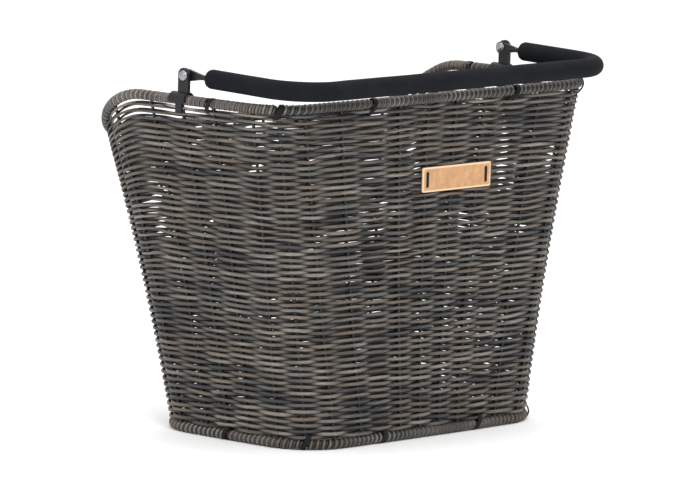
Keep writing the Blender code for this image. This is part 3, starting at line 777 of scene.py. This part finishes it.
def rivet_material():
    """Zinc plate, dulled and weathered."""
    material, nodes, links, shader = new_material("rivet_look", (0.30, 0.31, 0.33), 0.3, 1.0)
    vector = coordinates(nodes, links, (1.0, 1.0, 1.0))
    mottled = noise(nodes, links, vector, 500.0, 3.0)
    links.new(spread(nodes, links, mottled, 0.3, 0.7, 0.22, 0.42), shader.inputs["Roughness"])
    return material


def zinc_material():
    """Zinc plate, faintly mottled."""
    material, nodes, links, shader = new_material("zinc_look", (0.55, 0.56, 0.58), 0.3, 1.0)
    mottled = noise(nodes, links, coordinates(nodes, links, (1.0, 1.0, 1.0)), 500.0, 3.0)
    links.new(spread(nodes, links, mottled, 0.3, 0.7, 0.24, 0.44), shader.inputs["Roughness"])
    return material


def tie_material():
    """Dull black cord."""
    material, nodes, links, shader = new_material("tie_look", (0.006, 0.006, 0.007), 0.7)
    fibres = noise(nodes, links, coordinates(nodes, links, (1.0, 1.0, 1.0)), 2500.0, 2.0)
    shader.inputs["Specular IOR Level"].default_value = 0.25
    links.new(spread(nodes, links, fibres, 0.3, 0.7, 0.6, 0.85), shader.inputs["Roughness"])
    add_bump(nodes, links, shader, fibres, 0.3, 0.0002)
    return material


def plastic_material():
    """Glass-filled black plastic with a fine moulded grain."""
    material, nodes, links, shader = new_material("plate_look", (0.012, 0.012, 0.014), 0.5)
    shader.inputs["Specular IOR Level"].default_value = 0.35
    vector = coordinates(nodes, links, (1.0, 1.0, 1.0))
    grain = noise(nodes, links, vector, 1800.0, 2.0)
    links.new(spread(nodes, links, grain, 0.3, 0.7, 0.42, 0.62), shader.inputs["Roughness"])
    add_bump(nodes, links, shader, grain, 0.25, 0.0002)
    return material


def leather_material():
    """Tan leather: a pebbled, blotchy face with a paler rubbed border."""
    material, nodes, links, shader = new_material("label_look", (0.60, 0.35, 0.17), 0.55)
    vector = coordinates(nodes, links, (1.0, 1.0, 1.0))
    broad = noise(nodes, links, vector, 130.0, 4.0)
    cells = nodes.new("ShaderNodeTexVoronoi")
    cells.inputs["Scale"].default_value = 900.0
    links.new(vector, cells.inputs["Vector"])
    base = nodes.new("ShaderNodeMix")
    base.data_type = "RGBA"
    base.inputs["A"].default_value = (0.42, 0.215, 0.095, 1.0)
    base.inputs["B"].default_value = (0.58, 0.330, 0.160, 1.0)
    links.new(spread(nodes, links, broad, 0.3, 0.7, 0.0, 1.0), base.inputs["Factor"])
    split = nodes.new("ShaderNodeSeparateXYZ")
    links.new(vector, split.inputs["Vector"])
    edges = []
    for axis, half in LABEL_HALF:
        size = nodes.new("ShaderNodeMath")
        size.operation = "ABSOLUTE"
        links.new(split.outputs[axis], size.inputs[0])
        edges.append(spread(nodes, links, size.outputs["Value"], half - 0.0019, half - 0.0008, 0, 1))
    border = nodes.new("ShaderNodeMath")
    border.operation = "MAXIMUM"
    links.new(edges[0], border.inputs[0])
    links.new(edges[1], border.inputs[1])
    rubbed = nodes.new("ShaderNodeMix")
    rubbed.data_type = "RGBA"
    rubbed.inputs["B"].default_value = (0.80, 0.56, 0.34, 1.0)
    links.new(border.outputs["Value"], rubbed.inputs["Factor"])
    links.new(base.outputs["Result"], rubbed.inputs["A"])
    links.new(rubbed.outputs["Result"], shader.inputs["Base Color"])
    links.new(spread(nodes, links, broad, 0.3, 0.7, 0.5, 0.68), shader.inputs["Roughness"])
    add_bump(nodes, links, shader, cells.outputs["Distance"], 0.35, 0.0003)
    return material


# --------------------------------------------------------------- solid pieces
def finish_piece(obj, body, slot, *nodes):
    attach(obj, body)
    if nodes:
        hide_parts(*nodes)


def link_mesh(name, bm, material):
    mesh = bpy.data.meshes.new(name)
    bmesh.ops.recalc_face_normals(bm, faces=bm.faces)
    bm.to_mesh(mesh)
    bm.free()
    obj = bpy.data.objects.new(name, mesh)
    bpy.context.scene.collection.objects.link(obj)
    obj.data.materials.append(material)
    mesh.shade_smooth()
    mesh.set_sharp_from_angle(angle=EDGE_ANGLE)
    return obj


def soften(name, width, body, material, widen=1.0):
    """A copy of a CAD piece with rounded edges, shown in its place."""
    node = NODES[name]
    bm = bmesh.new()
    bm.from_mesh(node.data)
    bm.transform(node.matrix_world)
    middle = sum((v.co for v in bm.verts), Vector()) / len(bm.verts)
    bmesh.ops.translate(bm, vec=-middle, verts=bm.verts)
    bmesh.ops.scale(bm, vec=(widen, 1.0, 1.0), verts=bm.verts)
    bmesh.ops.remove_doubles(bm, verts=bm.verts, dist=1e-6)
    bmesh.ops.dissolve_limit(bm, angle_limit=math.radians(1.0), verts=bm.verts, edges=bm.edges)
    obj = link_mesh(name + "_look", bm, material)
    obj.location = middle
    if width:
        bevel(obj, width)
    slot = next(s["material_slot"] for s in frame["record"]["subparts"] if s["node"] == name)
    finish_piece(obj, body, slot, name)


def bevel(obj, width):
    modifier = obj.modifiers.new("edges", "BEVEL")
    modifier.width = width
    modifier.segments = 2
    modifier.limit_method = "ANGLE"
    modifier.angle_limit = EDGE_ANGLE
    modifier.harden_normals = True


# ------------------------------------------------------------------- handle
def bow_line(start, spacing):
    """The folded bow's centre line from a reach on the left arm to the same on the right."""
    bend = BOW_REACH - BOW_CORNER
    flat = []
    for reach in np.linspace(start, bend, 24):
        flat.append((-(EYELET_X + (BOW_ARM_X - EYELET_X) * reach / bend), reach))
    for angle in np.linspace(0.0, math.pi / 2, 26)[1:]:
        flat.append((-(BOW_ARM_X - BOW_CORNER) - BOW_CORNER * math.cos(angle),
                     bend + BOW_CORNER * math.sin(angle)))
    flat = np.array(flat)
    flat = np.concatenate([flat, flat[::-1] * [-1.0, 1.0]])
    points = np.stack([flat[:, 0], PIVOT.y - flat[:, 1] * math.cos(BOW_SLOPE),
                       PIVOT.z - flat[:, 1] * math.sin(BOW_SLOPE)], axis=1)
    along = arc_length(points)
    even = np.linspace(0.0, along[-1], int(along[-1] / spacing))
    return np.stack([np.interp(even, along, points[:, i]) for i in range(3)], axis=1), even


def make_foam(material):
    points, along = bow_line(FOAM_START, 0.0016)
    to_end = np.minimum(along, along[-1] - along)
    round_part = np.clip(to_end / FOAM_ROUND, 0.0, 1.0)
    radii = FOAM_RADIUS - FOAM_ROUND * (1 - np.sqrt(1 - (1 - round_part) ** 2)) * 0.85
    dents = smooth_noise(RNG, 2, 90)
    radii = radii * (1 + 0.012 * read_noise(dents, np.zeros(len(along)), along / 0.018))
    ends = [ROD_RADIUS * 0.9]
    points = np.concatenate([points[:1], points, points[-1:]])
    radii = np.concatenate([ends, radii, ends])
    strands = Strands()
    _, side, up = frames(points[1:-1], False)
    side = np.concatenate([side[:1], side, side[-1:]])
    up = np.concatenate([up[:1], up, up[-1:]])
    strands.add(points, side, up, radii, radii, np.zeros((len(points), 3)), sides=36)
    foam = strands.build("foam_sleeve")
    foam.data.materials.append(material)
    return foam


# --------------------------------------------------------------------- build
CANE = cane_material()
FOAM = foam_material()
STEEL = black_steel_material()
RIVET = rivet_material()
ZINC = zinc_material()
TIE = tie_material()
PLASTIC = plastic_material()
LEATHER = leather_material()

for piece in make_wall_weave(CANE):
    finish_piece(piece, "basket", "cane", "woven_wall")
finish_piece(make_stakes(CANE), "basket", "cane")
top_winding = make_rim_winding("top_rim_winding", "top", TOP_TIES, CANE)
finish_piece(top_winding, "basket", "cane", "top_rim_wrap")
base_winding = make_rim_winding("base_rim_winding", "base", BASE_TIES, CANE)
finish_piece(base_winding, "basket", "cane", "base_rim_wrap")
finish_piece(make_rim_ties("top_rim_ties", "top", TOP_TIES, TIE), "basket", "tie_black")
finish_piece(make_rim_ties("base_rim_ties", "base", BASE_TIES, TIE), "basket", "tie_black")
finish_piece(make_floor_weave(CANE), "basket", "cane", "woven_floor")
finish_piece(make_foam(FOAM), "handle", "foam", "foam_grip")

soften("label", 0.0005, "basket", LEATHER)
soften("adapter_plate", 0.0009, "basket", PLASTIC)
soften("backing_plate", 0.0007, "basket", PLASTIC)
soften("handle_rod", 0.0004, "handle", STEEL)
for side_name in ("left", "right"):
    soften("label_tie_" + side_name, 0.0003, "basket", TIE, widen=1.45)
    soften("handle_bracket_" + side_name, 0.0005, "basket", STEEL)
    soften("pivot_washer_" + side_name, 0.0002, "basket", PLASTIC)
    soften("pivot_rivet_" + side_name, 0.0, "basket", RIVET)
for number in range(1, 5):
    soften(f"adapter_screw_{number}", 0.0003, "basket", ZINC)
    soften(f"adapter_nut_{number}", 0.0003, "basket", ZINC)
for name, node in NODES.items():
    if name.startswith(("upright_wire", "floor_wire", "top_rim_wire", "base_rim_wire")):
        node.data.materials.clear()
        node.data.materials.append(STEEL)


# ------------------------------------------------------ floor, light, camera
def make_stage():
    bpy.ops.mesh.primitive_plane_add(size=80.0, location=(0.0, 0.0, 0.0))
    floor = bpy.context.object
    floor.name = "stage_floor"
    material, _, _, shader = new_material("stage_floor_look", (0.97, 0.97, 0.97), 0.9)
    shader.inputs["Specular IOR Level"].default_value = 0.0
    floor.data.materials.append(material)
    world = bpy.data.worlds.new("studio")
    world.use_nodes = True
    world.node_tree.nodes["Background"].inputs["Color"].default_value = (1.0, 1.0, 1.0, 1.0)
    world.node_tree.nodes["Background"].inputs["Strength"].default_value = 1.0
    bpy.context.scene.world = world


def add_light(name, place, target, size, power):
    light = bpy.data.lights.new(name, "AREA")
    light.shape = "DISK"
    light.size = size
    light.energy = power
    obj = bpy.data.objects.new(name, light)
    bpy.context.scene.collection.objects.link(obj)
    obj.location = place
    direction = Vector(target) - Vector(place)
    obj.rotation_euler = direction.to_track_quat("-Z", "Y").to_euler()


def make_camera():
    camera = bpy.data.cameras.new("camera")
    camera.lens = CAMERA_LENS
    camera.clip_end = 100.0
    obj = bpy.data.objects.new("camera", camera)
    bpy.context.scene.collection.objects.link(obj)
    level = CAMERA_DISTANCE * math.cos(CAMERA_ELEVATION)
    away = Vector((level * math.sin(CAMERA_AZIMUTH), -level * math.cos(CAMERA_AZIMUTH),
                   CAMERA_DISTANCE * math.sin(CAMERA_ELEVATION)))
    obj.location = CAMERA_AIM + away
    turn = (-away).to_track_quat("-Z", "Y").to_matrix().to_4x4()
    obj.rotation_euler = (turn @ Matrix.Rotation(CAMERA_LEAN, 4, "Z")).to_euler()
    bpy.context.scene.camera = obj


make_stage()
add_light("key", (-1.6, -2.2, 2.6), (0.0, 0.0, 0.15), 1.6, 52.0)
add_light("fill", (-3.0, 0.6, 1.2), (0.0, 0.0, 0.15), 2.0, 8.0)
add_light("top", (0.6, 0.6, 3.0), (0.0, 0.0, 0.2), 2.0, 34.0)
make_camera()
bpy.context.scene.view_settings.view_transform = "Standard"
